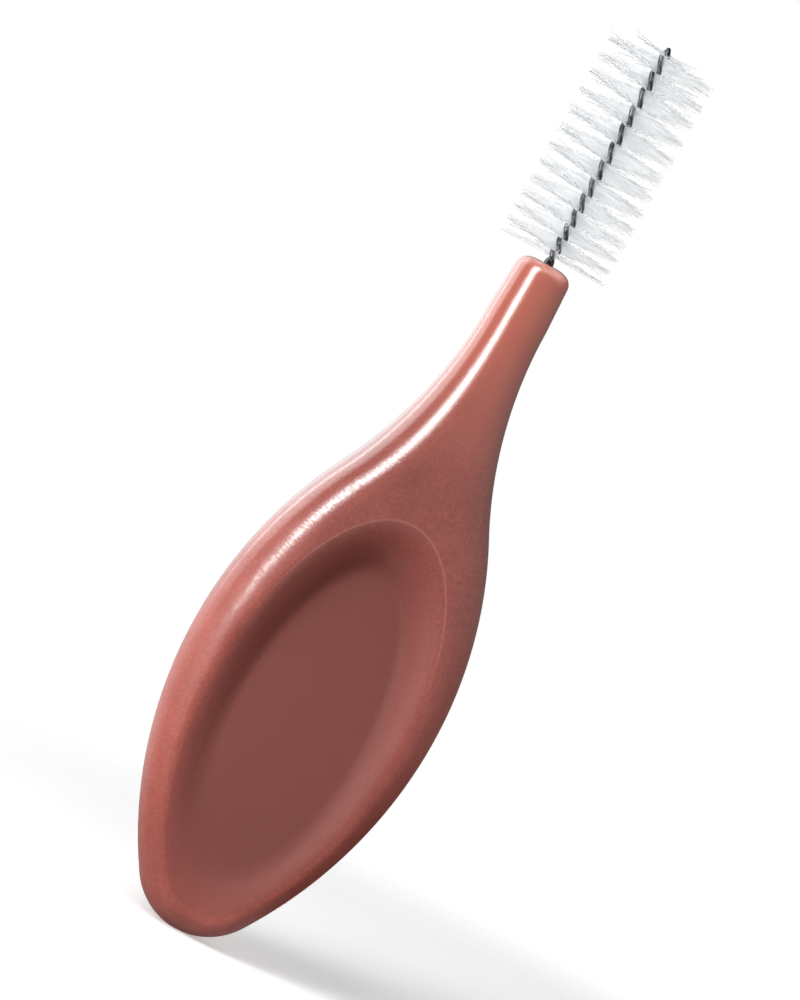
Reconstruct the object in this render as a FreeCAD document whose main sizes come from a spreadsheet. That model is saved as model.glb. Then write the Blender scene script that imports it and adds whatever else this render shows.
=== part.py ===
# Interdental brush: a moulded leaf-shaped handle, a twisted wire stem and rows of pinched filaments.
# Millimetres, upright: +Z runs from the tail to the brush tip, and the front face looks towards -Y.
import FreeCAD
import Part
import Sketcher
import math
import os

Vector = FreeCAD.Vector
up = Vector(0, 0, 1)
quarter_turn = math.pi / 2
filament_sides = 6
level_tolerance = 1e-4  # how close an edge lies to the level it is picked at

# Driving sizes, one named cell each
driving_sizes = {
    "handle_length": 45.0,  # tail to neck end
    "paddle_width": 16.25,  # across the widest part of the leaf
    "paddle_depth": 5.2,  # front to back at the shoulder
    "tail_depth": 4.2,  # front to back towards the tail
    "belly_height": 16.8,  # tail to the widest part
    "tail_radius": 4.3,  # end of the leaf, seen from the front
    "gate_width": 1.4,  # small flat left by the moulding gate under the tail
    "gate_depth": 0.8,
    "neck_diameter": 3.4,  # at the neck end
    "neck_draft": 0.05,  # growth of the neck's radius per millimetre
    "neck_straight": 3.6,  # drafted length of the neck above the flare
    "neck_end_round": 0.6,
    "parting_flat": 0.1,  # narrow flat on each face of the neck
    "recess_depth": 1.25,  # thumb recess, below the shoulder's face
    "recess_floor_height": 15.6,  # middle of the recess floor
    "recess_floor_length": 18.4,
    "recess_rim": 1.625,  # side of the paddle to the mouth of the recess
    "recess_lean": 2.05,  # how far the middle of the mouth lies below the middle of the floor
    "recess_end_run": 4.65,  # floor to mouth at each end of the recess
    "recess_side_run": 1.9,  # floor to mouth at each side of the recess
    "recess_floor_round": 4.0,
    "recess_overcut": 0.6,  # how far the recess cutter stands out of the face
    "wire_diameter": 0.35,
    "twist_pitch": 2.14,  # one full turn of the twisted wire
    "wire_embedded": 6.0,  # twisted length held in the neck
    "socket_clearance": 0.02,  # between the twisted wire and its socket
    "tip_straight": 0.3,  # where the legs straighten before the bend at the tip
    "brush_gap": 0.45,  # neck end to the first filament
    "brush_diameter": 7.0,
    "row_count": 13,  # half turns that hold filaments
    "filament_diameter": 0.07,  # across the flats
    "filament_clearance": 0.004,  # between neighbouring filaments
    "pinch_clearance": 0.015,  # between a filament and the wire on either side
}

# Sizes that follow from others: the mouth of the recess goes with its floor, and both with the paddle
following_sizes = {
    "recess_mouth_height": "=recess_floor_height - recess_lean",
    "recess_mouth_length": "=recess_floor_length + 2 * recess_end_run",
    "recess_mouth_width": "=paddle_width - 2 * recess_rim",
    "recess_floor_width": "=paddle_width - 2 * (recess_rim + recess_side_run)",
}

doc = FreeCAD.newDocument("interdental_brush")
sheet = doc.addObject("Spreadsheet::Sheet", "Sizes")
for row, (alias, content) in enumerate({**driving_sizes, **following_sizes}.items(), start=1):
    sheet.set(f"A{row}", alias)
    sheet.set(f"B{row}", str(content))
    sheet.setAlias(f"B{row}", alias)
doc.recompute()


def origin_plane(body, role):
    return next(feature for feature in body.Origin.OriginFeatures if feature.Role == role)


def new_sketch(body, name, role, offset):
    sketch = body.newObject("Sketcher::SketchObject", name)
    sketch.AttachmentSupport = (origin_plane(body, role), [""])
    sketch.MapMode = "FlatFace"
    sketch.setExpression("AttachmentOffset.Base.z", offset)
    return sketch


def bind(sketch, constraint, name, expression):
    index = sketch.addConstraint(constraint)
    sketch.renameConstraint(index, name)
    sketch.setExpression(f"Constraints.{name}", expression)


# Leaf outline, as formulas on the sheet: a tail arc and a side arc up to the belly, then two equal
# arcs, shoulder and flare, from the belly to the neck, each tangent to the next
half_width = "(Sizes.paddle_width / 2)"
half_depth = "(Sizes.paddle_depth / 2)"
side_radius = (
    f"(({half_width}^2 + (Sizes.belly_height - Sizes.tail_radius)^2 - Sizes.tail_radius^2)"
    f" / (2 * ({half_width} - Sizes.tail_radius)))"
)
tail_join = (
    "(Sizes.tail_radius - Sizes.tail_radius * (Sizes.belly_height - Sizes.tail_radius)"
    f" / ({side_radius} - Sizes.tail_radius))"
)
flare_top = "(Sizes.handle_length - Sizes.neck_straight)"
flare_half = "(Sizes.neck_diameter / 2 + Sizes.neck_draft * Sizes.neck_straight)"
flare_rise = f"({flare_top} - Sizes.belly_height)"
flare_inset = f"({half_width} - {flare_half})"
flare_radius = f"(({flare_rise}^2 + {flare_inset}^2) / (4 * {flare_inset}))"
shoulder_join = f"(Sizes.belly_height + {flare_rise} / 2)"
flare_half_depth = f"({flare_half} - Sizes.parting_flat / 2)"


def leaf_half_depth(height):
    thinning = f"({half_depth} - Sizes.tail_depth / 2)"
    return f"({half_depth} - {thinning} * (1 - {height} / {shoulder_join})^2)"


def tail_station(share):
    height = f"({share} * {tail_join})"
    width = f"sqrt(Sizes.tail_radius^2 - (Sizes.tail_radius - {height})^2)"
    return height, width, f"({leaf_half_depth(height)} * sqrt(1 - (1 - {share})^2))"


def side_station(share):
    height = f"({tail_join} + {share} * (Sizes.belly_height - {tail_join}))"
    drop = f"({side_radius} - sqrt({side_radius}^2 - ({height} - Sizes.belly_height)^2))"
    return height, f"({half_width} - {drop})", leaf_half_depth(height)


def shoulder_station(share):
    height = f"(Sizes.belly_height + {share} * ({shoulder_join} - Sizes.belly_height))"
    drop = f"({flare_radius} - sqrt({flare_radius}^2 - ({height} - Sizes.belly_height)^2))"
    return height, f"({half_width} - {drop})", leaf_half_depth(height)


def flare_station(share):
    below = f"((1 - {share}) * ({flare_top} - {shoulder_join}))"
    width = f"({flare_half} + {flare_radius} - sqrt({flare_radius}^2 - {below}^2))"
    ease = f"(1 - 3 * {share}^2 + 2 * {share}^3)"
    depth = f"({flare_half_depth} + ({half_depth} - {flare_half_depth}) * {ease})"
    return f"({flare_top} - {below})", width, depth


# Sections of the leaf: shares of each arc's height, closer together where the outline turns fast
gate_station = ("0", "(Sizes.gate_width / 2)", "(Sizes.gate_depth / 2)")
stations = [gate_station]
stations += [tail_station(share) for share in (0.1, 0.35, 0.7)]
stations += [side_station(share) for share in (0.04, 0.18, 0.4, 0.7, 1)]
stations += [shoulder_station(share) for share in (0.35, 0.7, 1)]
stations += [flare_station(share) for share in (0.3, 0.6, 0.85, 1)]


def slot_section(body, name, height, width, depth):
    sketch = new_sketch(body, name, "XY_Plane", height)
    radius = float(sketch.evalExpression(depth))
    reach = float(sketch.evalExpression(width)) - radius
    right = Part.Circle(Vector(reach, 0, 0), up, radius)
    left = Part.Circle(Vector(-reach, 0, 0), up, radius)
    sketch.addGeometry(Part.ArcOfCircle(right, -quarter_turn, quarter_turn))
    sketch.addGeometry(Part.LineSegment(Vector(reach, radius, 0), Vector(-reach, radius, 0)))
    sketch.addGeometry(Part.ArcOfCircle(left, quarter_turn, 3 * quarter_turn))
    sketch.addGeometry(Part.LineSegment(Vector(-reach, -radius, 0), Vector(reach, -radius, 0)))
    for edge in range(4):
        sketch.addConstraint(Sketcher.Constraint("Tangent", edge, 2, (edge + 1) % 4, 1))
    sketch.addConstraint(Sketcher.Constraint("Equal", 0, 2))
    sketch.addConstraint(Sketcher.Constraint("Symmetric", 0, 3, 2, 3, -1, 1))
    sketch.addConstraint(Sketcher.Constraint("Horizontal", 1))
    bind(sketch, Sketcher.Constraint("Radius", 0, radius), "side_round", depth)
    span = Sketcher.Constraint("DistanceX", 2, 3, 0, 3, 2 * reach)
    bind(sketch, span, "round_span", f"2 * ({width} - {depth})")
    return sketch


def ellipse_section(body, name, offset, middle, length, width):
    sketch = new_sketch(body, name, "XZ_Plane", offset)
    centre = Vector(0, float(sketch.evalExpression(middle)), 0)
    half_long = float(sketch.evalExpression(length)) / 2
    half_short = float(sketch.evalExpression(width)) / 2
    top = centre + Vector(0, half_long, 0)
    side = centre + Vector(-half_short, 0, 0)
    sketch.addGeometry(Part.Ellipse(top, side, centre))
    sketch.exposeInternalGeometry(0)
    sketch.addConstraint(Sketcher.Constraint("PointOnObject", 0, 3, -2))
    sketch.addConstraint(Sketcher.Constraint("Vertical", 1))
    rise = Sketcher.Constraint("DistanceY", -1, 1, 0, 3, centre.y)
    bind(sketch, rise, "middle", middle)
    bind(sketch, Sketcher.Constraint("Distance", 1, 2 * half_long), "length", length)
    bind(sketch, Sketcher.Constraint("Distance", 2, 2 * half_short), "width", width)
    return sketch


def edges_at(shape, axis, level):
    found = []
    for number, edge in enumerate(shape.Edges, start=1):
        box = edge.BoundBox
        low = (box.XMin, box.YMin, box.ZMin)[axis]
        high = (box.XMax, box.YMax, box.ZMax)[axis]
        if abs(low - level) < level_tolerance and abs(high - level) < level_tolerance:
            found.append(f"Edge{number}")
    return found


def cell(alias):
    return float(sheet.get(alias))


# Twisted stem: sizes that the handle, the wire and the filaments share
filament_half = cell("filament_diameter") / 2
wire_half = cell("wire_diameter") / 2
leg_radius = wire_half + filament_half + cell("pinch_clearance")
stem_half = "(Sizes.wire_diameter + Sizes.filament_diameter / 2 + Sizes.pinch_clearance)"


# Handle
def cut_recess(body, name, facing):
    floor_level = f"{facing} * ({half_depth} - Sizes.recess_depth)"
    mouth_level = f"{facing} * ({half_depth} + Sizes.recess_overcut)"
    over = "((Sizes.recess_depth + Sizes.recess_overcut) / Sizes.recess_depth)"

    def carried_on(floor, mouth):
        return f"({floor} + ({mouth} - {floor}) * {over})"

    floor_section = ellipse_section(
        body,
        f"{name}_floor",
        floor_level,
        "Sizes.recess_floor_height",
        "Sizes.recess_floor_length",
        "Sizes.recess_floor_width",
    )
    mouth_section = ellipse_section(
        body,
        f"{name}_mouth",
        mouth_level,
        carried_on("Sizes.recess_floor_height", "Sizes.recess_mouth_height"),
        carried_on("Sizes.recess_floor_length", "Sizes.recess_mouth_length"),
        carried_on("Sizes.recess_floor_width", "Sizes.recess_mouth_width"),
    )
    cut = body.newObject("PartDesign::SubtractiveLoft", name)
    cut.Profile = floor_section
    cut.Sections = [mouth_section]
    cut.Ruled = True
    doc.recompute()
    blend = body.newObject("PartDesign::Fillet", f"{name}_blend")
    level = -facing * (cell("paddle_depth") / 2 - cell("recess_depth"))
    blend.Base = (cut, edges_at(cut.Shape, 1, level))
    blend.setExpression("Radius", "Sizes.recess_floor_round")
    doc.recompute()


def make_handle():
    body = doc.addObject("PartDesign::Body", "handle")
    sections = [slot_section(body, f"station_{k:02d}", *at) for k, at in enumerate(stations, start=1)]
    doc.recompute()
    leaf = body.newObject("PartDesign::AdditiveLoft", "leaf")
    leaf.Profile = sections[0]
    leaf.Sections = sections[1:]
    doc.recompute()
    neck = body.newObject("PartDesign::Pad", "neck")
    neck.Profile = sections[-1]
    neck.setExpression("Length", "Sizes.neck_straight")
    neck.setExpression("TaperAngle", "-atan(Sizes.neck_draft)")
    doc.recompute()
    neck_round = body.newObject("PartDesign::Fillet", "neck_round")
    neck_round.Base = (neck, edges_at(neck.Shape, 2, cell("handle_length")))
    neck_round.setExpression("Radius", "Sizes.neck_end_round")
    doc.recompute()
    cut_recess(body, "thumb_recess", 1)
    cut_recess(body, "finger_recess", -1)
    mouth = new_sketch(body, "socket_mouth", "XY_Plane", "Sizes.handle_length")
    hole = Part.Circle(Vector(0, 0, 0), up, leg_radius + wire_half)
    mouth.addGeometry(hole)
    mouth.addConstraint(Sketcher.Constraint("Coincident", 0, 3, -1, 1))
    radius = Sketcher.Constraint("Radius", 0, hole.Radius)
    bind(mouth, radius, "socket_radius", f"{stem_half} + Sizes.socket_clearance")
    socket = body.newObject("PartDesign::Pocket", "wire_socket")
    socket.Profile = mouth
    socket.setExpression("Length", "Sizes.wire_embedded + Sizes.socket_clearance")
    doc.recompute()
    return body


# Twisted wire: one hairpin, its two legs wound round each other to the left
def twist_angle(height):
    first = cell("handle_length") + cell("brush_gap")
    return -2 * math.pi * (height - first) / cell("twist_pitch")


def leg_point(height, side):
    angle = twist_angle(height) + side * quarter_turn
    return Vector(leg_radius * math.cos(angle), leg_radius * math.sin(angle), height)


def leg_direction(height, side):
    angle = twist_angle(height) + side * quarter_turn
    turn = -2 * math.pi * leg_radius / cell("twist_pitch")
    return Vector(-turn * math.sin(angle), turn * math.cos(angle), 1).normalize()


def arc_between(start, corner, end):
    chord_middle = (start + end) / 2
    half_chord = (end - start).Length / 2
    reach = (corner - chord_middle).Length
    bend = math.atan2(reach, half_chord)
    bulge = half_chord * math.tan(bend / 2)
    return Part.Arc(start, chord_middle + (corner - chord_middle).normalize() * bulge, end).toShape()


def biarc(start, start_direction, end, end_direction):
    gap = end - start
    total = start_direction + end_direction
    spread = 2 * (1 - start_direction.dot(end_direction))
    along = gap.dot(total)
    arm = (math.sqrt(along**2 + spread * gap.dot(gap)) - along) / spread
    first_corner = start + start_direction * arm
    last_corner = end - end_direction * arm
    joint = (first_corner + last_corner) / 2
    return [arc_between(start, first_corner, joint), arc_between(joint, last_corner, end)]


def make_wire():
    foot = cell("handle_length") - cell("wire_embedded")
    last = cell("handle_length") + cell("brush_gap") + cell("row_count") * cell("twist_pitch") / 2
    bend_level = last + cell("tip_straight")
    spans = math.ceil((last - foot) / (cell("twist_pitch") / 2))
    heights = [foot + (last - foot) * k / spans for k in range(spans + 1)]
    path = []
    for low, high in zip(heights, heights[1:]):
        path += biarc(leg_point(low, 1), leg_direction(low, 1), leg_point(high, 1), leg_direction(high, 1))
    tip_turn = quarter_turn / 2
    straight_angle = twist_angle(last) - tip_turn
    ends = {}
    for side in (1, -1):
        angle = straight_angle + side * quarter_turn
        ends[side] = Vector(leg_radius * math.cos(angle), leg_radius * math.sin(angle), bend_level)
    path += biarc(leg_point(last, 1), leg_direction(last, 1), ends[1], up)
    crown = Vector(0, 0, bend_level + leg_radius)
    path.append(Part.Arc(ends[1], crown, ends[-1]).toShape())
    path += biarc(ends[-1], -up, leg_point(last, -1), -leg_direction(last, -1))
    for high, low in zip(heights[::-1], heights[-2::-1]):
        path += biarc(
            leg_point(high, -1), -leg_direction(high, -1), leg_point(low, -1), -leg_direction(low, -1)
        )
    spine = Part.Wire(path)
    ring = Part.Circle(leg_point(foot, 1), leg_direction(foot, 1), wire_half)
    wire = doc.addObject("Part::Feature", "twisted_wire")
    wire.Shape = spine.makePipeShell([Part.Wire(ring.toShape())], True, False)
    expected = math.pi * wire_half**2 * spine.Length
    print(f"wire length {spine.Length:.2f} mm, volume {wire.Shape.Volume:.4f} of {expected:.4f} mm3")
    print(f"gap between the legs {2 * (leg_radius - wire_half):.3f} mm")
    print("tightest arc", min(edge.Curve.Radius for edge in spine.Edges))
    return wire


# Filaments: each passes through the stem's axis, square to the two legs at its height
def make_filament():
    filament = doc.addObject("Part::Prism", "filament")
    filament.Polygon = filament_sides
    half_side = f"(180 deg / {filament_sides})"
    filament.setExpression("Circumradius", f"Sizes.filament_diameter / 2 / cos({half_side})")
    filament.setExpression("Height", "Sizes.brush_diameter")
    doc.recompute()
    return filament


def make_row(number, filament):
    half_pitch = cell("twist_pitch") / 2
    per_row = int(half_pitch / (cell("filament_diameter") + cell("filament_clearance")))
    spacing = half_pitch / per_row
    first = cell("handle_length") + cell("brush_gap") + (number - 1) * half_pitch
    flats_up = FreeCAD.Rotation(up, 180 / filament_sides)
    lay_down = FreeCAD.Rotation(up, Vector(1, 0, 0))
    middle = Vector(-cell("brush_diameter") / 2, 0, 0)
    copies = []
    for k in range(per_row):
        height = first + (k + 0.5) * spacing
        turned = FreeCAD.Rotation(up, math.degrees(twist_angle(height)))
        rotation = turned.multiply(lay_down).multiply(flats_up)
        placed = filament.Shape.copy()
        placed.Placement = FreeCAD.Placement(turned.multVec(middle) + Vector(0, 0, height), rotation)
        copies.append(placed)
    row = doc.addObject("Part::Feature", f"bristle_row_{number:02d}")
    row.Shape = Part.makeCompound(copies)
    return row


handle = make_handle()
wire = make_wire()
filament = make_filament()
rows = [make_row(number, filament) for number in range(1, int(cell("row_count")) + 1)]
doc.recompute()

sub_parts = [handle, wire] + rows
for item in doc.Objects:
    if "Invalid" in item.State or "Error" in item.State:
        raise RuntimeError(f"{item.Name} failed: {item.State}")
for piece in sub_parts:
    if piece.Shape.isNull() or not piece.Shape.isValid():
        raise RuntimeError(f"{piece.Name} has no valid shape")

os.makedirs("parts", exist_ok=True)
for piece in sub_parts:
    piece.Label = piece.Name
    piece.Shape.exportStep(f"parts/{piece.Label}.step")
    print(piece.Label, len(piece.Shape.Solids), "solids", round(piece.Shape.Volume, 4), "mm3")
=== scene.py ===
import bpy
import math
import numpy as np
from mathutils import Matrix, Vector


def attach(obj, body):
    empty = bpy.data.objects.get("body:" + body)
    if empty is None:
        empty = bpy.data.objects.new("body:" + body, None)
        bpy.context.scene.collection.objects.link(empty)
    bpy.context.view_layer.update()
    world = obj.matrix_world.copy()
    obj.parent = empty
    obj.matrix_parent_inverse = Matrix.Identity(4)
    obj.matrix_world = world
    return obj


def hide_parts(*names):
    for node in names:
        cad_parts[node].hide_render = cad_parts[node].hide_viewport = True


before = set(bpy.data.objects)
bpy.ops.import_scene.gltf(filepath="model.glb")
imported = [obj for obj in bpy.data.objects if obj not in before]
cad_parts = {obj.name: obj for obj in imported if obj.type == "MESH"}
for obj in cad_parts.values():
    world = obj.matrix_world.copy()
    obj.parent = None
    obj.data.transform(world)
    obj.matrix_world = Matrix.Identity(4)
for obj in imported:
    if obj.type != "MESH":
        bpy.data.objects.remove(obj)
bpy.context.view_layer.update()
mm = 0.001  # sizes below are in millimetres
print("frame loaded:", len(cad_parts), "nodes")


# node trees: one class for a tree, one for a socket with its arithmetic

class Signal:
    def __init__(self, tree, node, socket):
        self.tree = tree
        self.node = node
        self.socket = socket

    def at(self, key):
        return Signal(self.tree, self.node, pickSocket(self.node.outputs, key))

    def maths(self, operation, *values):
        return self.tree.node("ShaderNodeMath", {"operation": operation}, dict(enumerate(values)))

    def __add__(self, other):
        return self.maths("ADD", self, other)

    def __radd__(self, other):
        return self.maths("ADD", other, self)

    def __sub__(self, other):
        return self.maths("SUBTRACT", self, other)

    def __rsub__(self, other):
        return self.maths("SUBTRACT", other, self)

    def __mul__(self, other):
        return self.maths("MULTIPLY", self, other)

    def __rmul__(self, other):
        return self.maths("MULTIPLY", other, self)

    def __truediv__(self, other):
        return self.maths("DIVIDE", self, other)

    def __rtruediv__(self, other):
        return self.maths("DIVIDE", other, self)

    def __pow__(self, other):
        return self.maths("POWER", self, other)

    def __abs__(self):
        return self.maths("ABSOLUTE", self)

    def clamped(self, low, high):
        return self.maths("MINIMUM", self.maths("MAXIMUM", self, low), high)

    def ramped(self, low, high, start=0.0, end=1.0):
        settings = {"interpolation_type": "SMOOTHSTEP"}
        values = {"Value": self, "From Min": low, "From Max": high, "To Min": start, "To Max": end}
        return self.tree.node("ShaderNodeMapRange", settings, values)


def pickSocket(sockets, key):
    if isinstance(key, int):
        return sockets[key]
    for socket in sockets:
        if socket.identifier == key:
            return socket
    return sockets[key]


class Tree:
    def __init__(self, nodeTree):
        self.tree = nodeTree
        self.tree.nodes.clear()

    def node(self, kind, settings=None, inputs=None, output=0):
        made = self.tree.nodes.new(kind)
        for key, value in (settings or {}).items():
            if key == "stops":
                elements = made.color_ramp.elements
                while len(elements) < len(value):
                    elements.new(1.0)
                for element, (place, colour) in zip(elements, value):
                    element.position = place
                    element.color = colour
            else:
                setattr(made, key, value)
        for key, value in (inputs or {}).items():
            socket = pickSocket(made.inputs, key)
            if isinstance(value, Signal):
                self.tree.links.new(value.socket, socket)
            else:
                socket.default_value = value
        if not made.outputs:
            return None
        return Signal(self, made, pickSocket(made.outputs, output))

    def noise(self, place, scale, detail, rough=0.5):
        values = {"Vector": place, "Scale": scale, "Detail": detail, "Roughness": rough}
        return self.node("ShaderNodeTexNoise", None, values, "Fac")

    def shades(self, factor, colours):
        places = [step / (len(colours) - 1) for step in range(len(colours))]
        stops = [(place, linear(*colour)) for place, colour in zip(places, colours)]
        return self.node("ShaderNodeValToRGB", {"stops": stops}, {"Fac": factor})

    def mix(self, factor, first, second):
        values = {"Factor_Float": factor, "A_Color": first, "B_Color": second}
        return self.node("ShaderNodeMix", {"data_type": "RGBA"}, values, "Result_Color")


def linear(red, green, blue):
    def channel(value):
        share = value / 255
        return share / 12.92 if share <= 0.04045 else ((share + 0.055) / 1.055) ** 2.4
    return (channel(red), channel(green), channel(blue), 1.0)


def newMaterial(name):
    material = bpy.data.materials.new(name)
    material.use_nodes = True
    return material, Tree(material.node_tree)


def finishMaterial(tree, shader):
    tree.node("ShaderNodeOutputMaterial", None, {"Surface": shader})


# view: the camera stands to the object's left and is rolled, so the brush leans to the right

view = {
    "aimHeight": 28.62,  # of the picture's middle, along the object
    "aimSide": -0.82,
    "turn": 14.0,  # degrees towards the object's left
    "rise": 3.0,
    "roll": 29.3,
    "pictureHeight": 59.0,  # what the frame covers at the object
    "lens": 200.0,
    "sensor": 36.0,
    "clip": (0.005, 10.0),
}


def makeCamera():
    turn, rise, roll = (math.radians(view[key]) for key in ("turn", "rise", "roll"))
    back = Vector((-math.sin(turn) * math.cos(rise), -math.cos(turn) * math.cos(rise), math.sin(rise)))
    side = Vector((math.cos(turn), -math.sin(turn), 0.0))
    upright = back.cross(side)
    right = side * math.cos(roll) + upright * math.sin(roll)
    up = upright * math.cos(roll) - side * math.sin(roll)
    aim = Vector((0.0, 0.0, view["aimHeight"])) + side * view["aimSide"]
    distance = view["pictureHeight"] * view["lens"] / view["sensor"]
    place = (aim + back * distance) * mm
    data = bpy.data.cameras.new("camera")
    data.sensor_fit = "VERTICAL"
    data.sensor_height = view["sensor"]
    data.sensor_width = view["sensor"]
    data.lens = view["lens"]
    data.clip_start, data.clip_end = view["clip"]
    camera = bpy.data.objects.new("camera", data)
    bpy.context.scene.collection.objects.link(camera)
    axes = Matrix((right, up, back)).transposed().to_4x4()
    camera.matrix_world = Matrix.Translation(place) @ axes
    bpy.context.scene.camera = camera
    print("camera placed, distance in mm", round(distance, 1))


makeCamera()


# handle: a moulded leaf with a thumb recess on both faces

handle = {
    "leaf": {
        "length": 45.0,
        "width": 16.25,
        "depth": 5.2,
        "tailDepth": 4.2,
        "bellyHeight": 16.8,
        "tailRadius": 4.3,
        "gateWidth": 1.4,
        "neckDiameter": 3.4,
        "neckDraft": 0.05,
        "neckStraight": 3.6,
        "partingFlat": 0.1,
        "endDome": 0.95,  # height of the domed end of the neck
        "domePower": 2.6,
        "socketRadius": 0.42,
        "socketDepth": 5.9,
        "socketRings": (0.02, 0.2, 1.0),  # shares of that depth
        "rings": 300,
        "tailRings": 20,  # closer together towards the end of the tail
        "tailFine": 1.4,
        "endRings": 10,
        "around": 288,
        "frontShare": 0.6,  # share of the points that lie on the front half
    },
    "recess": {
        "depth": 1.85,  # at the top
        "tailDepth": 1.1,
        "tilt": 0.03,  # the floor rises to the right, seen from each face
        "floorHeight": 14.4,
        "floorSide": 0.15,
        "floorLength": 20.4,
        "floorWidth": 8.7,
        "mouthHeight": 13.75,
        "mouthLength": 28.1,
        "mouthWidth": 13.0,
        "rimSlope": 0.4,  # the wall starts at this share of its mean slope and steepens
        "wallPower": 2.3,
        "floorBlend": 0.2,
        "crispRim": 0.03,  # rounding of the rim at the top of the recess
        "softRim": 0.5,  # and towards the tail
        "rimHeights": (12.0, 26.0),  # between which the one turns into the other
        "slopeHeights": (4.0, 20.0),  # below, the wall is straight
        "depthHeights": (6.0, 23.0),
        "blendShare": 0.4,  # the rounding is at most this share of the face's depth
        "leastDepth": 0.01,
        "faceFrom": 0.05,  # a face counts from this depth
        "topHeight": 36.0,
        "shareRange": (-1.9, 8.0),
        "halvings": 40,
    },
    "plastic": {
        "shades": ((146, 73, 64), (158, 82, 72), (171, 92, 81)),
        "neckLightColour": (202, 108, 89),  # painted light: a paler colour for the light that passes through the thin neck
        # painted shade: a darker colour inside the recess, where less light reaches
        "recessShadeColour": (127, 67, 60),
        # painted highlight: the light line along the recess rim
        "rimHighlightColour": (226, 158, 146),
        "neckHeights": (30.0 * mm, 43.0 * mm),
        "rimHeights": (17.0 * mm, 24.0 * mm),
        "rimWidth": 0.025,
        "rimHighlightShare": 0.26,
        "rimRaise": 0.35,
        "handledHeights": (22.0 * mm, 29.0 * mm),  # duller below these, from use
        "rubbedHeights": (14.0 * mm, 28.0 * mm),  # and without polish below these
        "shoulderHeights": (29.0 * mm, 36.0 * mm),  # the polish sparkles below these
        "shoulderDepths": (1.0 * mm, 1.8 * mm),
        "sparkle": 0.65,
        "neckWander": 2.0 * mm,  # unevenness of those heights
        "wearWander": 4.0 * mm,
        "cloudScale": 140.0,
        "flowScale": 420.0,
        "speckScale": 5600.0,
        "cloudShare": 0.35,
        "flowShare": 0.22,
        "speckShare": 0.43,
        "mottleRange": (0.3, 0.7),
        "hairScale": 9000.0,
        "hairStretch": (0.3, 0.3, 1.0),  # the hair lines run round the handle
        "hairRange": (0.38, 0.58),
        "fineGrain": 7000.0,
        "coarseGrain": 2600.0,
        "fineShare": 0.55,
        "coarseShare": 0.45,
        "grainDepth": 0.03 * mm,
        "rough": 0.22,
        "wornRough": 0.22,
        "recessRough": 0.28,
        "roughSpread": 0.08,
        "ior": 1.62,
        "coatRough": 0.19,
        "coatIor": 2.2,
        "glow": 0.08,  # share of the light that passes under the surface
        "glowRadius": (1.0, 0.35, 0.25),
        "glowScale": 0.5 * mm,
    },
}
leaf, recess, plastic = handle["leaf"], handle["recess"], handle["plastic"]


def softMax(first, second, blend):
    gap = np.maximum(blend - np.abs(first - second), 0.0)
    return np.maximum(first, second) + gap * gap / (4 * blend)


def smoothShare(value, low, high):
    share = np.clip((value - low) / (high - low), 0.0, 1.0)
    return share * share * (3 - 2 * share)


def leafOutline(height):
    half = leaf["width"] / 2
    tail = leaf["tailRadius"]
    belly = leaf["bellyHeight"]
    sideRadius = (half**2 + (belly - tail) ** 2 - tail**2) / (2 * (half - tail))
    tailJoin = tail - tail * (belly - tail) / (sideRadius - tail)
    top = leaf["length"] - leaf["neckStraight"]
    neckHalf = leaf["neckDiameter"] / 2 + leaf["neckDraft"] * leaf["neckStraight"]
    rise = top - belly
    inset = half - neckHalf
    flareRadius = (rise**2 + inset**2) / (4 * inset)
    join = belly + rise / 2
    gateLift = tail - math.sqrt(tail**2 - (leaf["gateWidth"] / 2) ** 2)
    lifted = gateLift + height * (tailJoin - gateLift) / tailJoin
    width = np.select(
        [height < tailJoin, height < belly, height < join, height < top],
        [
            np.sqrt(np.maximum(tail**2 - (tail - lifted) ** 2, 0.0)),
            half - sideRadius + np.sqrt(np.maximum(sideRadius**2 - (height - belly) ** 2, 0.0)),
            half - flareRadius + np.sqrt(np.maximum(flareRadius**2 - (height - belly) ** 2, 0.0)),
            neckHalf + flareRadius - np.sqrt(np.maximum(flareRadius**2 - (top - height) ** 2, 0.0)),
        ],
        neckHalf - leaf["neckDraft"] * (height - top),
    )
    thinning = (leaf["depth"] - leaf["tailDepth"]) / 2
    body = leaf["depth"] / 2 - thinning * (1 - height / join) ** 2
    closing = np.sqrt(1 - (1 - np.clip(lifted / tailJoin, 0.0, 1.0)) ** 2)
    share = np.clip((height - join) / (top - join), 0.0, 1.0)
    neckDepth = width - leaf["partingFlat"] / 2
    ease = 1 - 3 * share**2 + 2 * share**3
    topDepth = neckHalf - leaf["partingFlat"] / 2
    flare = topDepth + (leaf["depth"] / 2 - topDepth) * ease
    zones = [height < tailJoin, height < join, height < top]
    return width, np.select(zones, [body * closing, body, flare], neckDepth)


def slotPoints(width, depth, count):
    # points round a slot section, closer together on the front half
    flat = np.maximum(width - depth, 0.0)
    half = 2 * flat + math.pi * depth
    frontCount = int(count * leaf["frontShare"])
    front = np.arange(frontCount) / frontCount
    backHalf = np.arange(count - frontCount) / (count - frontCount)
    steps = np.concatenate([front, 1 + backHalf])
    along = (steps % 1.0)[None, :] * half[:, None]
    arc = (math.pi / 2) * depth[:, None]
    run = 2 * flat[:, None]
    turn = np.where(along < arc, along, np.where(along < arc + run, arc, along - run)) / depth[:, None]
    shift = np.where(along < arc, 0.0, np.where(along < arc + run, along - arc, run))
    x = flat[:, None] - shift + depth[:, None] * np.cos(turn)
    y = -depth[:, None] * np.sin(turn)
    sign = np.where(steps < 1.0, 1.0, -1.0)[None, :]
    return x * sign, y * sign


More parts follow.
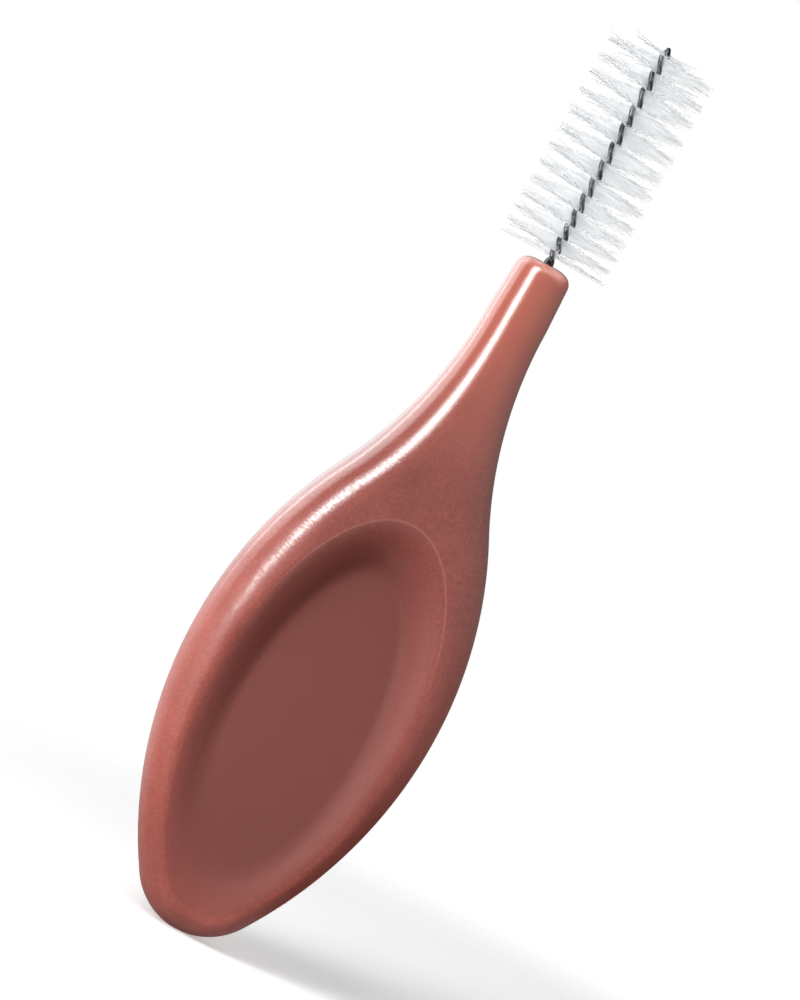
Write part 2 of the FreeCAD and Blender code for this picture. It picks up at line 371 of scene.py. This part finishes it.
def recessShare(x, z):
    # 0 on the edge of the floor, 1 on the mouth, found by halving
    low, high = (np.full(x.shape, end) for end in recess["shareRange"])
    for _ in range(recess["halvings"]):
        middle = (low + high) / 2
        halfLong = (recess["floorLength"] + (recess["mouthLength"] - recess["floorLength"]) * middle) / 2
        halfWide = (recess["floorWidth"] + (recess["mouthWidth"] - recess["floorWidth"]) * middle) / 2
        centre = recess["floorHeight"] + (recess["mouthHeight"] - recess["floorHeight"]) * middle
        side = recess["floorSide"] * (1 - middle)
        inside = ((x - side) / halfWide) ** 2 + ((z - centre) / halfLong) ** 2 < 1
        high = np.where(inside, middle, high)
        low = np.where(inside, low, middle)
    return (low + high) / 2


def sinkRecess(x, y, z):
    # presses the recess into a face whose outside is at depth y, both counted outwards
    share = recessShare(x, z)
    towardsTail = 1 - smoothShare(z, *recess["slopeHeights"])
    start = recess["rimSlope"] + (1 - recess["rimSlope"]) * towardsTail
    below = 1 - softMax(share, np.zeros_like(share), recess["floorBlend"])
    wall = np.maximum(below, 0.0)
    fall = start * below + (1 - start) * wall ** recess["wallPower"]
    deepening = smoothShare(z, *recess["depthHeights"])
    deep = recess["tailDepth"] + (recess["depth"] - recess["tailDepth"]) * deepening
    deep = deep * (1 - recess["tilt"] * x)
    cut = leaf["depth"] / 2 - deep * fall
    softening = 1 - smoothShare(z, *recess["rimHeights"])
    blend = recess["crispRim"] + (recess["softRim"] - recess["crispRim"]) * softening
    blend = np.minimum(blend, recess["blendShare"] * np.maximum(y, recess["leastDepth"]))
    # recess mask, 0 at the rim and 1 on the floor: satin finish, and painted shade in the colour
    satin = np.clip(below, 0.0, 1.0) * (y > cut)
    return -softMax(-y, -cut, blend), satin, np.clip(y - cut, -1.0, 1.0)


def leafMaterial():
    material, tree = newMaterial("rosePlastic")
    place = tree.node("ShaderNodeTexCoord", None, None, "Object")
    satin = tree.node("ShaderNodeAttribute", {"attribute_name": "satin"}, None, "Fac")
    drop = tree.node("ShaderNodeAttribute", {"attribute_name": "drop"}, None, "Fac")
    parts = tree.node("ShaderNodeSeparateXYZ", None, {"Vector": place})
    height = parts.at("Z")
    cloud = tree.noise(place, plastic["cloudScale"], 3.0)
    flow = tree.noise(place, plastic["flowScale"], 4.0, 0.6)
    speck = tree.noise(place, plastic["speckScale"], 2.0)
    # colour: mottled, paler in the neck as painted light, darker in the recess as painted shade, with a
    # painted highlight line on its rim
    mottle = plastic["cloudShare"] * cloud + plastic["flowShare"] * flow + plastic["speckShare"] * speck
    shade = mottle.ramped(*plastic["mottleRange"])
    thick = tree.shades(shade, plastic["shades"])
    thin = (height + plastic["neckWander"] * (cloud - 0.5)).ramped(*plastic["neckHeights"])
    # painted light: towards the neck the colour turns paler, for light shining through it
    neckLit = tree.mix(thin, thick, linear(*plastic["neckLightColour"]))
    # painted shade: the colour darkens from the recess rim towards its floor
    recessShaded = tree.mix(satin, neckLit, linear(*plastic["recessShadeColour"]))
    # painted highlight along the rim, which also raises a slight bead through the bump
    rim = (1 - abs(drop).ramped(0.0, plastic["rimWidth"])) * height.ramped(*plastic["rimHeights"])
    colour = tree.mix(plastic["rimHighlightShare"] * rim, recessShaded, linear(*plastic["rimHighlightColour"]))
    # finish: polished above, handled below, satin in the recess
    uneven = height + plastic["wearWander"] * (flow - 0.5)
    handled = 1 - uneven.ramped(*plastic["handledHeights"])
    worn = handled.maths("MAXIMUM", handled, satin)
    rubbed = 1 - uneven.ramped(*plastic["rubbedHeights"])
    drawn = tree.node("ShaderNodeMapping", None, {"Vector": place, "Scale": plastic["hairStretch"]})
    hair = tree.noise(drawn, plastic["hairScale"], 2.0).ramped(*plastic["hairRange"])
    raised = abs(parts.at("Y")).ramped(*plastic["shoulderDepths"])
    shoulder = raised * (1 - height.ramped(*plastic["shoulderHeights"]))
    polished = (1 - rubbed) * (1 - satin) * (1 - plastic["sparkle"] * shoulder * (1 - hair))
    rough = plastic["rough"] + plastic["wornRough"] * worn + plastic["recessRough"] * satin
    rough = rough + plastic["roughSpread"] * (flow - 0.5)
    fine = tree.noise(place, plastic["fineGrain"], 2.0)
    coarse = tree.noise(place, plastic["coarseGrain"], 2.0)
    grain = plastic["fineShare"] * fine + plastic["coarseShare"] * coarse + plastic["rimRaise"] * rim
    bumpValues = {"Height": grain, "Strength": 1.0, "Distance": plastic["grainDepth"]}
    shader = tree.node("ShaderNodeBsdfPrincipled", None, {
        "Base Color": colour,
        "Roughness": rough,
        "Normal": tree.node("ShaderNodeBump", None, bumpValues),
        "IOR": plastic["ior"],
        "Coat Weight": polished,
        "Coat Roughness": plastic["coatRough"],
        "Coat IOR": plastic["coatIor"],
        "Subsurface Weight": plastic["glow"],
        "Subsurface Radius": plastic["glowRadius"],
        "Subsurface Scale": plastic["glowScale"],
    })
    finishMaterial(tree, shader)
    return material


def makeHandle():
    roundStart = leaf["length"] - leaf["endDome"]
    tailHeights = leaf["tailFine"] * np.linspace(0.0, 1.0, leaf["tailRings"], endpoint=False) ** 2
    height = np.concatenate([tailHeights, np.linspace(leaf["tailFine"], roundStart, leaf["rings"])])
    width, depth = leafOutline(height)
    x, y = slotPoints(width, depth, leaf["around"])
    z = np.repeat(height[:, None], leaf["around"], axis=1)
    satin = np.zeros_like(x)
    drop = np.full_like(x, -1.0)
    outward = -y
    for facing in (1.0, -1.0):
        face = outward * facing
        near = (face > recess["faceFrom"]) & (z < recess["topHeight"])
        sunk, satin[near], drop[near] = sinkRecess(x[near] * facing, face[near], z[near])
        outward[near] = sunk * facing
    y = -outward
    endTurn = np.linspace(0.0, math.pi / 2, leaf["endRings"] + 1)[1:]
    mouth = leaf["socketRadius"] / width[-1]
    endShare = mouth + (1 - mouth) * np.cos(endTurn) ** (2 / leaf["domePower"])
    domeShare = (1 - ((endShare - mouth) / (1 - mouth)) ** leaf["domePower"]) ** (1 / leaf["domePower"])
    endX, endY = slotPoints(width[-1] * endShare, depth[-1] * endShare, leaf["around"])
    endHeight = roundStart + leaf["endDome"] * domeShare
    endZ = np.repeat(endHeight[:, None], leaf["around"], axis=1)
    holeShares = np.array(leaf["socketRings"])[:, None]
    holeZ = leaf["length"] - leaf["socketDepth"] * np.repeat(holeShares, leaf["around"], axis=1)
    holeX = np.repeat(endX[-1:], len(holeShares), axis=0)
    holeY = np.repeat(endY[-1:], len(holeShares), axis=0)
    x = np.concatenate([x, endX, holeX])
    y = np.concatenate([y, endY, holeY])
    z = np.concatenate([z, endZ, holeZ])
    rings, around = x.shape
    points = np.stack([x, y, z], axis=2).reshape(-1, 3) * mm
    foot = np.array([[0.0, 0.0, 0.0], [0.0, 0.0, z[-1, 0] * mm]])
    points = np.concatenate([points, foot])
    faces = []
    for ring in range(rings - 1):
        for step in range(around):
            after = (step + 1) % around
            low, high = ring * around, (ring + 1) * around
            faces.append((low + step, high + step, high + after, low + after))
    last = (rings - 1) * around
    for step in range(around):
        after = (step + 1) % around
        faces.append((rings * around, step, after))
        faces.append((rings * around + 1, last + after, last + step))
    mesh = bpy.data.meshes.new("handleMoulding")
    mesh.from_pydata(points.tolist(), [], faces)
    mesh.update()
    for name, values, rest in (("satin", satin, 0.0), ("drop", drop, -1.0)):
        layer = mesh.attributes.new(name, "FLOAT", "POINT")
        whole = np.full(len(points), rest, dtype=np.float32)
        whole[:values.size] = values.ravel()
        layer.data.foreach_set("value", whole)
    mesh.polygons.foreach_set("use_smooth", [True] * len(mesh.polygons))
    mesh.materials.append(leafMaterial())
    piece = bpy.data.objects.new("handleMoulding", mesh)
    bpy.context.scene.collection.objects.link(piece)
    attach(piece, "root")
    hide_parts("handle")
    print("handle made:", len(points), "points")


makeHandle()


# geometry node helpers

def newGeometryTree(name, sizes):
    group = bpy.data.node_groups.new(name, "GeometryNodeTree")
    group.interface.new_socket("Geometry", in_out="OUTPUT", socket_type="NodeSocketGeometry")
    tree = Tree(group)
    keys = {}
    for key, value in sizes.items():
        kind = "NodeSocketInt" if isinstance(value, int) else "NodeSocketFloat"
        keys[key] = group.interface.new_socket(key, in_out="INPUT", socket_type=kind).identifier
    source = tree.node("NodeGroupInput")
    return tree, {key: source.at(identifier) for key, identifier in keys.items()}, keys


def closeGeometryTree(tree, geometry, material):
    whole = tree.node("GeometryNodeRealizeInstances", None, {"Geometry": geometry})
    smooth = tree.node("GeometryNodeSetShadeSmooth", None, {"Geometry": whole, "Shade Smooth": True})
    dressed = tree.node("GeometryNodeSetMaterial", None, {"Geometry": smooth, "Material": material})
    tree.node("NodeGroupOutput", None, {"Geometry": dressed})


def growPiece(name, tree, keys, sizes):
    holder = bpy.data.objects.new(name, bpy.data.meshes.new(name + "Seed"))
    bpy.context.scene.collection.objects.link(holder)
    modifier = holder.modifiers.new(name, "NODES")
    modifier.node_group = tree.tree
    for key, value in sizes.items():
        modifier[keys[key]] = value
    bpy.context.view_layer.update()
    grown = bpy.data.meshes.new_from_object(holder.evaluated_get(bpy.context.evaluated_depsgraph_get()))
    holder.modifiers.remove(modifier)
    seedMesh = holder.data
    holder.data = grown
    bpy.data.meshes.remove(seedMesh)
    grown.name = name
    return holder


def combine(tree, x, y, z):
    return tree.node("ShaderNodeCombineXYZ", None, {"X": x, "Y": y, "Z": z})


# twist shared by the wire and the bristles: half turns counted from the first crossing at the neck

twist = {
    "firstCrossing": 45.48 * mm,
    "twistLength": 13.94 * mm,
    "halfTurns": 13.0,
    "tightening": 0.375,  # the turns are closer together near the neck
    "easing": 1.2,
    "faceAngle": math.radians(-104.0),  # the way the picture is taken from
}


def twistAngle(height, size):
    along = (height - size["firstCrossing"]) / size["twistLength"]
    kept = along.clamped(0.0, 1.0)
    drift = size["tightening"] * kept * (1 - kept) * (1 - size["easing"] * kept)
    return size["faceAngle"] - math.pi * size["halfTurns"] * (along + drift)


# wire: one hairpin, its two legs wound round each other

wire = {
    "sizes": {
        "pathPoints": 2401,
        "wireRadius": 0.155 * mm,
        "legRadius": 0.165 * mm,
        "foot": 39.2 * mm,
        "bend": 58.9 * mm,  # where the legs start to close
        "crown": 0.5 * mm,  # height of the closed end above that
        "bendShare": 0.026,
        "sides": 12,
        **twist,
    },
    "steel": {
        "shades": ((58, 61, 65), (124, 128, 132)),
        "toneScale": 2500.0,
        "toneRange": (0.3, 0.7),
        "scratchScale": 9000.0,
        "scratchDepth": 0.01 * mm,
        "scratchStrength": 0.1,
        "rough": 0.03,
        "roughSpread": 0.04,
    },
}
wireSizes, steel = wire["sizes"], wire["steel"]


def wireMaterial():
    material, tree = newMaterial("drawnSteel")
    place = tree.node("ShaderNodeTexCoord", None, None, "Object")
    tone = tree.noise(place, steel["toneScale"], 3.0).ramped(*steel["toneRange"])
    scratch = tree.noise(place, steel["scratchScale"], 2.0)
    bumpValues = {"Height": scratch, "Strength": steel["scratchStrength"], "Distance": steel["scratchDepth"]}
    shader = tree.node("ShaderNodeBsdfPrincipled", None, {
        "Base Color": tree.shades(tone, steel["shades"]),
        "Metallic": 1.0,
        "Roughness": steel["rough"] + steel["roughSpread"] * tone,
        "Normal": tree.node("ShaderNodeBump", None, bumpValues),
    })
    finishMaterial(tree, shader)
    return material


def makeWire():
    tree, size, keys = newGeometryTree("hairpin", wireSizes)
    line = tree.node("GeometryNodeMeshLine", {"mode": "OFFSET"}, {"Count": size["pathPoints"]})
    along = tree.node("GeometryNodeInputIndex") * 2.0 / (size["pathPoints"] - 1.0) - 1.0
    away = abs(along)
    side = along.maths("SIGN", along)
    turn = (away / size["bendShare"]).clamped(0.0, 1.0) * (math.pi / 2)
    reach = size["legRadius"] * turn.maths("SINE", turn) * side
    run = (away - size["bendShare"]).clamped(0.0, 1.0) / (1 - size["bendShare"])
    height = size["bend"] - run * (size["bend"] - size["foot"]) + size["crown"] * turn.maths("COSINE", turn)
    angle = twistAngle(height, size)
    point = combine(tree, reach * angle.maths("COSINE", angle), reach * angle.maths("SINE", angle), height)
    placed = tree.node("GeometryNodeSetPosition", None, {"Geometry": line, "Position": point})
    path = tree.node("GeometryNodeMeshToCurve", None, {"Mesh": placed})
    ring = {"Resolution": size["sides"], "Radius": size["wireRadius"]}
    section = tree.node("GeometryNodeCurvePrimitiveCircle", None, ring)
    tube = {"Curve": path, "Profile Curve": section, "Fill Caps": True}
    closeGeometryTree(tree, tree.node("GeometryNodeCurveToMesh", None, tube), wireMaterial())
    piece = growPiece("wireHairpin", tree, keys, wireSizes)
    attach(piece, "root")
    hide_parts("twisted_wire")
    print("wire made:", len(piece.data.polygons), "faces")


makeWire()


# bristles: filaments caught between the legs, each lying across the stem at its own height

bristles = {
    "sizes": {
        "filaments": 560,
        "first": 45.5 * mm,
        "last": 59.15 * mm,
        "reach": 3.5 * mm,
        "thickness": 0.035 * mm,
        "corners": 4,  # of a filament's section
        "fan": 0.05,  # radians of scatter round the stem
        "lean": 0.008,  # radians of scatter along the stem
        "shortest": 0.95,
        "clump": 0.04 * mm,
        "clumpScale": 700.0,
        "stray": 0.3 * mm,
        "sections": 6,
        "seed": 11,
        **twist,
    },
    "nylon": {
        "shades": ((244, 247, 249), (252, 253, 254)),
        "toneScale": 900.0,
        "toneRange": (0.3, 0.7),
        "rough": 0.4,
        "roughSpread": 0.1,
        "rootAlpha": 0.9,
        "tipFade": 0.6,  # how much of that is lost at the tips
        "fadeFrom": 0.3,  # share of the reach
        "clear": 0.85,
        "ior": 1.2,
    },
}
bristleSizes, nylon = bristles["sizes"], bristles["nylon"]


def bristleMaterial():
    material, tree = newMaterial("clearNylon")
    place = tree.node("ShaderNodeTexCoord", None, None, "Object")
    tone = tree.noise(place, nylon["toneScale"], 2.0).ramped(*nylon["toneRange"])
    parts = tree.node("ShaderNodeSeparateXYZ", None, {"Vector": place})
    out = (parts.at("X") * parts.at("X") + parts.at("Y") * parts.at("Y")) ** 0.5
    tip = out.ramped(nylon["fadeFrom"] * bristleSizes["reach"], bristleSizes["reach"])
    shader = tree.node("ShaderNodeBsdfPrincipled", None, {
        "Base Color": tree.shades(tone, nylon["shades"]),
        "Roughness": nylon["rough"] + nylon["roughSpread"] * tone,
        "Alpha": nylon["rootAlpha"] - nylon["tipFade"] * tip,
        "Transmission Weight": nylon["clear"],
        "IOR": nylon["ior"],
    })
    finishMaterial(tree, shader)
    return material


def makeBristles():
    tree, size, keys = newGeometryTree("bristles", bristleSizes)

    def chance(low, high, number):
        values = {2: low, 3: high, "Seed": size["seed"] + number}
        return tree.node("FunctionNodeRandomValue", {"data_type": "FLOAT"}, values, 1)

    line = tree.node("GeometryNodeMeshLine", {"mode": "OFFSET"}, {"Count": size["filaments"]})
    index = tree.node("GeometryNodeInputIndex")
    share = (index + chance(0.0, 1.0, 1)) / size["filaments"]
    height = size["first"] + share * (size["last"] - size["first"])
    raised = {"Geometry": line, "Position": combine(tree, 0.0, 0.0, height)}
    rows = tree.node("GeometryNodeSetPosition", None, raised)
    scatter = (chance(-1.0, 1.0, 2) + chance(-1.0, 1.0, 3)) / 2
    angle = twistAngle(height, size) + math.pi / 2 + size["fan"] * scatter
    lean = size["lean"] * (chance(-1.0, 1.0, 4) + chance(-1.0, 1.0, 5))
    long = chance(0.0, 1.0, 6)
    stretch = size["shortest"] + (1 - size["shortest"]) * (1 - long * long)
    straight = tree.node("GeometryNodeMeshCylinder", {"fill_type": "NGON"}, {
        "Vertices": size["corners"],
        "Side Segments": size["sections"],
        "Radius": size["thickness"],
        "Depth": 2 * size["reach"],
    })
    lying = {"Geometry": straight, "Rotation": (0.0, math.pi / 2, 0.0)}
    filament = tree.node("GeometryNodeTransform", None, lying)
    copies = tree.node("GeometryNodeInstanceOnPoints", None, {
        "Points": rows,
        "Instance": filament,
        "Rotation": combine(tree, 0.0, lean, angle),
        "Scale": combine(tree, stretch, 1.0, 1.0),
    })
    wander = chance(-1.0, 1.0, 7)
    marked = tree.node("GeometryNodeStoreNamedAttribute", {"data_type": "FLOAT", "domain": "INSTANCE"}, {
        "Geometry": copies,
        "Name": "wander",
        "Value": wander * abs(wander) * abs(wander),
    })
    loose = tree.node("GeometryNodeRealizeInstances", None, {"Geometry": marked})
    place = tree.node("GeometryNodeInputPosition")
    parts = tree.node("ShaderNodeSeparateXYZ", None, {"Vector": place})
    out = (parts.at("X") * parts.at("X") + parts.at("Y") * parts.at("Y")) / (size["reach"] * size["reach"])
    drift = tree.noise(place, size["clumpScale"], 1.0)
    own = tree.node("GeometryNodeInputNamedAttribute", {"data_type": "FLOAT"}, {"Name": "wander"})
    shift = out * (size["clump"] * (drift - 0.5) * 2.0 + size["stray"] * own)
    moved = {"Geometry": loose, "Offset": combine(tree, 0.0, 0.0, shift)}
    swayed = tree.node("GeometryNodeSetPosition", None, moved)
    closeGeometryTree(tree, swayed, bristleMaterial())
    piece = growPiece("brushFilaments", tree, keys, bristleSizes)
    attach(piece, "root")
    rowNames = sorted(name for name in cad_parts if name.startswith("bristle_row_"))
    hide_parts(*rowNames)
    print("bristles made:", len(piece.data.polygons), "faces")


makeBristles()


# stage: a pale floor, a soft studio round it, strips of light to the left and soft fills

stage = {
    "floorSize": 0.52,
    "floorShade": 1.1,  # for the camera, so that the lit floor is white
    "floorLift": 0.03,  # what the camera sees on top of the light that falls on the floor
    "floorBounce": 0.03,  # its shade for the light that it throws back on the object
    "tailBounce": 0.4,  # and close to the tail
    "bounceReach": (0.006, 0.014),
    "floorGloss": 0.1,  # how much of that lift shows in reflections
    "floorCentre": (0.045, 0.012, 0.0),
    "floorFade": (0.044, 0.066),  # the floor turns into plain white between these distances from there
    "gloss": 0.08,  # how much of the white round the object shows in reflections
    "leftGloss": 1.1,  # and behind it on the left
    "leftPanel": (140.0, 8.0),  # turn and rise of its middle
    "leftEdge": (0.7, 0.8),
    "rightPanel": (-55.0, 15.0),
    "ambient": 0.04,
    "leftGlow": 0.3,
    "rightGlow": 0.1,
    "lampAim": (0.0, 0.0, 0.03),
}
lamps = {
    "narrowStrip": {"turn": 48.0, "rise": 28.0, "distance": 0.44, "size": (0.11, 0.62), "power": 1.1},
    "keyStrip": {"turn": 48.0, "rise": 28.0, "distance": 0.45, "size": (0.22, 0.62), "power": 0.9},
    "wideStrip": {"turn": 48.0, "rise": 28.0, "distance": 0.46, "size": (0.3, 0.62), "power": 0.2},
    "edgeStrip": {"turn": 133.0, "rise": 14.0, "distance": 0.45, "size": (0.03, 0.5), "power": 0.2},
    "tailSoft": {"turn": 70.0, "rise": -24.0, "distance": 0.045, "size": (0.03, 0.02), "power": 0.012},
    "lowSoft": {"turn": -50.0, "rise": -20.0, "distance": 0.055, "size": (0.03, 0.02), "power": 0.004},
    "rightSoft": {"turn": -70.0, "rise": 45.0, "distance": 0.5, "size": (0.5, 0.5), "power": 1.2},
    "backSoft": {"turn": 190.0, "rise": 8.0, "distance": 0.5, "size": (0.5, 0.3), "power": 0.7},
}


def directionOf(turn, rise):
    turn, rise = math.radians(turn), math.radians(rise)
    return Vector((-math.sin(turn) * math.cos(rise), -math.cos(turn) * math.cos(rise), math.sin(rise)))


def makeLamps():
    middle = Vector(stage["lampAim"])
    for name, lamp in lamps.items():
        data = bpy.data.lights.new(name, "AREA")
        data.shape = "RECTANGLE"
        data.size, data.size_y = lamp["size"]
        data.energy = lamp["power"]
        holder = bpy.data.objects.new(name, data)
        bpy.context.scene.collection.objects.link(holder)
        towards = directionOf(lamp["turn"], lamp["rise"])
        holder.location = middle + towards * lamp["distance"]
        holder.rotation_euler = towards.to_track_quat("Z", "Y").to_euler()
        holder.visible_camera = False
        holder.visible_transmission = name != "backSoft"  # it doesn't shine through the bristles
        data.use_shadow = "Strip" in name
        holder.visible_glossy = "Strip" in name  # the soft fills leave no shadow and no reflection


def makeWorld():
    world = bpy.data.worlds.new("studio")
    bpy.context.scene.world = world
    world.use_nodes = True
    tree = Tree(world.node_tree)
    way = tree.node("ShaderNodeTexCoord", None, None, "Generated")

    def facing(turn, rise):
        settings = {"operation": "DOT_PRODUCT"}
        return tree.node("ShaderNodeVectorMath", settings, {0: way, 1: directionOf(turn, rise)}, "Value")

    left = facing(*stage["leftPanel"]).ramped(*stage["leftEdge"])
    fill = stage["rightGlow"] * facing(*stage["rightPanel"]).ramped(0.0, 1.0)
    light = stage["ambient"] + stage["leftGlow"] * left + fill
    ray = tree.node("ShaderNodeLightPath")
    mirrored = ray.at("Is Glossy Ray") * (stage["gloss"] + stage["leftGloss"] * left)
    seen = (ray.at("Is Camera Ray") + ray.at("Is Transmission Ray")).clamped(0.0, 1.0)
    level = seen + (1 - seen) * (light + mirrored)
    shader = tree.node("ShaderNodeBackground", None, {"Color": (1.0, 1.0, 1.0, 1.0), "Strength": level})
    tree.node("ShaderNodeOutputWorld", None, {"Surface": shader})


def makeFloor():
    half = stage["floorSize"] / 2
    mesh = bpy.data.meshes.new("floor")
    corners = [(-half, -half, 0.0), (half, -half, 0.0), (half, half, 0.0), (-half, half, 0.0)]
    mesh.from_pydata(corners, [], [(0, 1, 2, 3)])
    material, tree = newMaterial("paleFloor")
    shade = stage["floorShade"]
    ray = tree.node("ShaderNodeLightPath")
    place = tree.node("ShaderNodeTexCoord", None, None, "Object")
    away = tree.node("ShaderNodeVectorMath", {"operation": "LENGTH"}, {0: place}, "Value")
    bounce = stage["floorBounce"] + stage["tailBounce"] * (1 - away.ramped(*stage["bounceReach"]))
    tone = bounce + (shade - bounce) * ray.at("Is Camera Ray")
    grey = tree.node("ShaderNodeCombineColor", None, {0: tone, 1: tone, 2: tone})
    matt = tree.node("ShaderNodeBsdfDiffuse", None, {"Color": grey})
    glossy = stage["floorGloss"] * ray.at("Is Glossy Ray")
    seen = (ray.at("Is Camera Ray") + glossy + ray.at("Is Transmission Ray")).clamped(0.0, 1.0)
    glow = tree.node("ShaderNodeEmission", None, {"Strength": stage["floorLift"] * seen})
    both = tree.node("ShaderNodeAddShader", None, {0: matt, 1: glow})
    clear = tree.node("ShaderNodeBsdfTransparent")
    centred = {0: place, 1: stage["floorCentre"]}
    beyond = tree.node("ShaderNodeVectorMath", {"operation": "DISTANCE"}, centred, "Value")
    faded = {"Fac": beyond.ramped(*stage["floorFade"]), 1: both, 2: clear}
    finishMaterial(tree, tree.node("ShaderNodeMixShader", None, faded))
    mesh.materials.append(material)
    floor = bpy.data.objects.new("floor", mesh)
    bpy.context.scene.collection.objects.link(floor)


makeLamps()
makeWorld()
makeFloor()
bpy.context.scene.view_settings.view_transform = "Standard"
print("stage set")
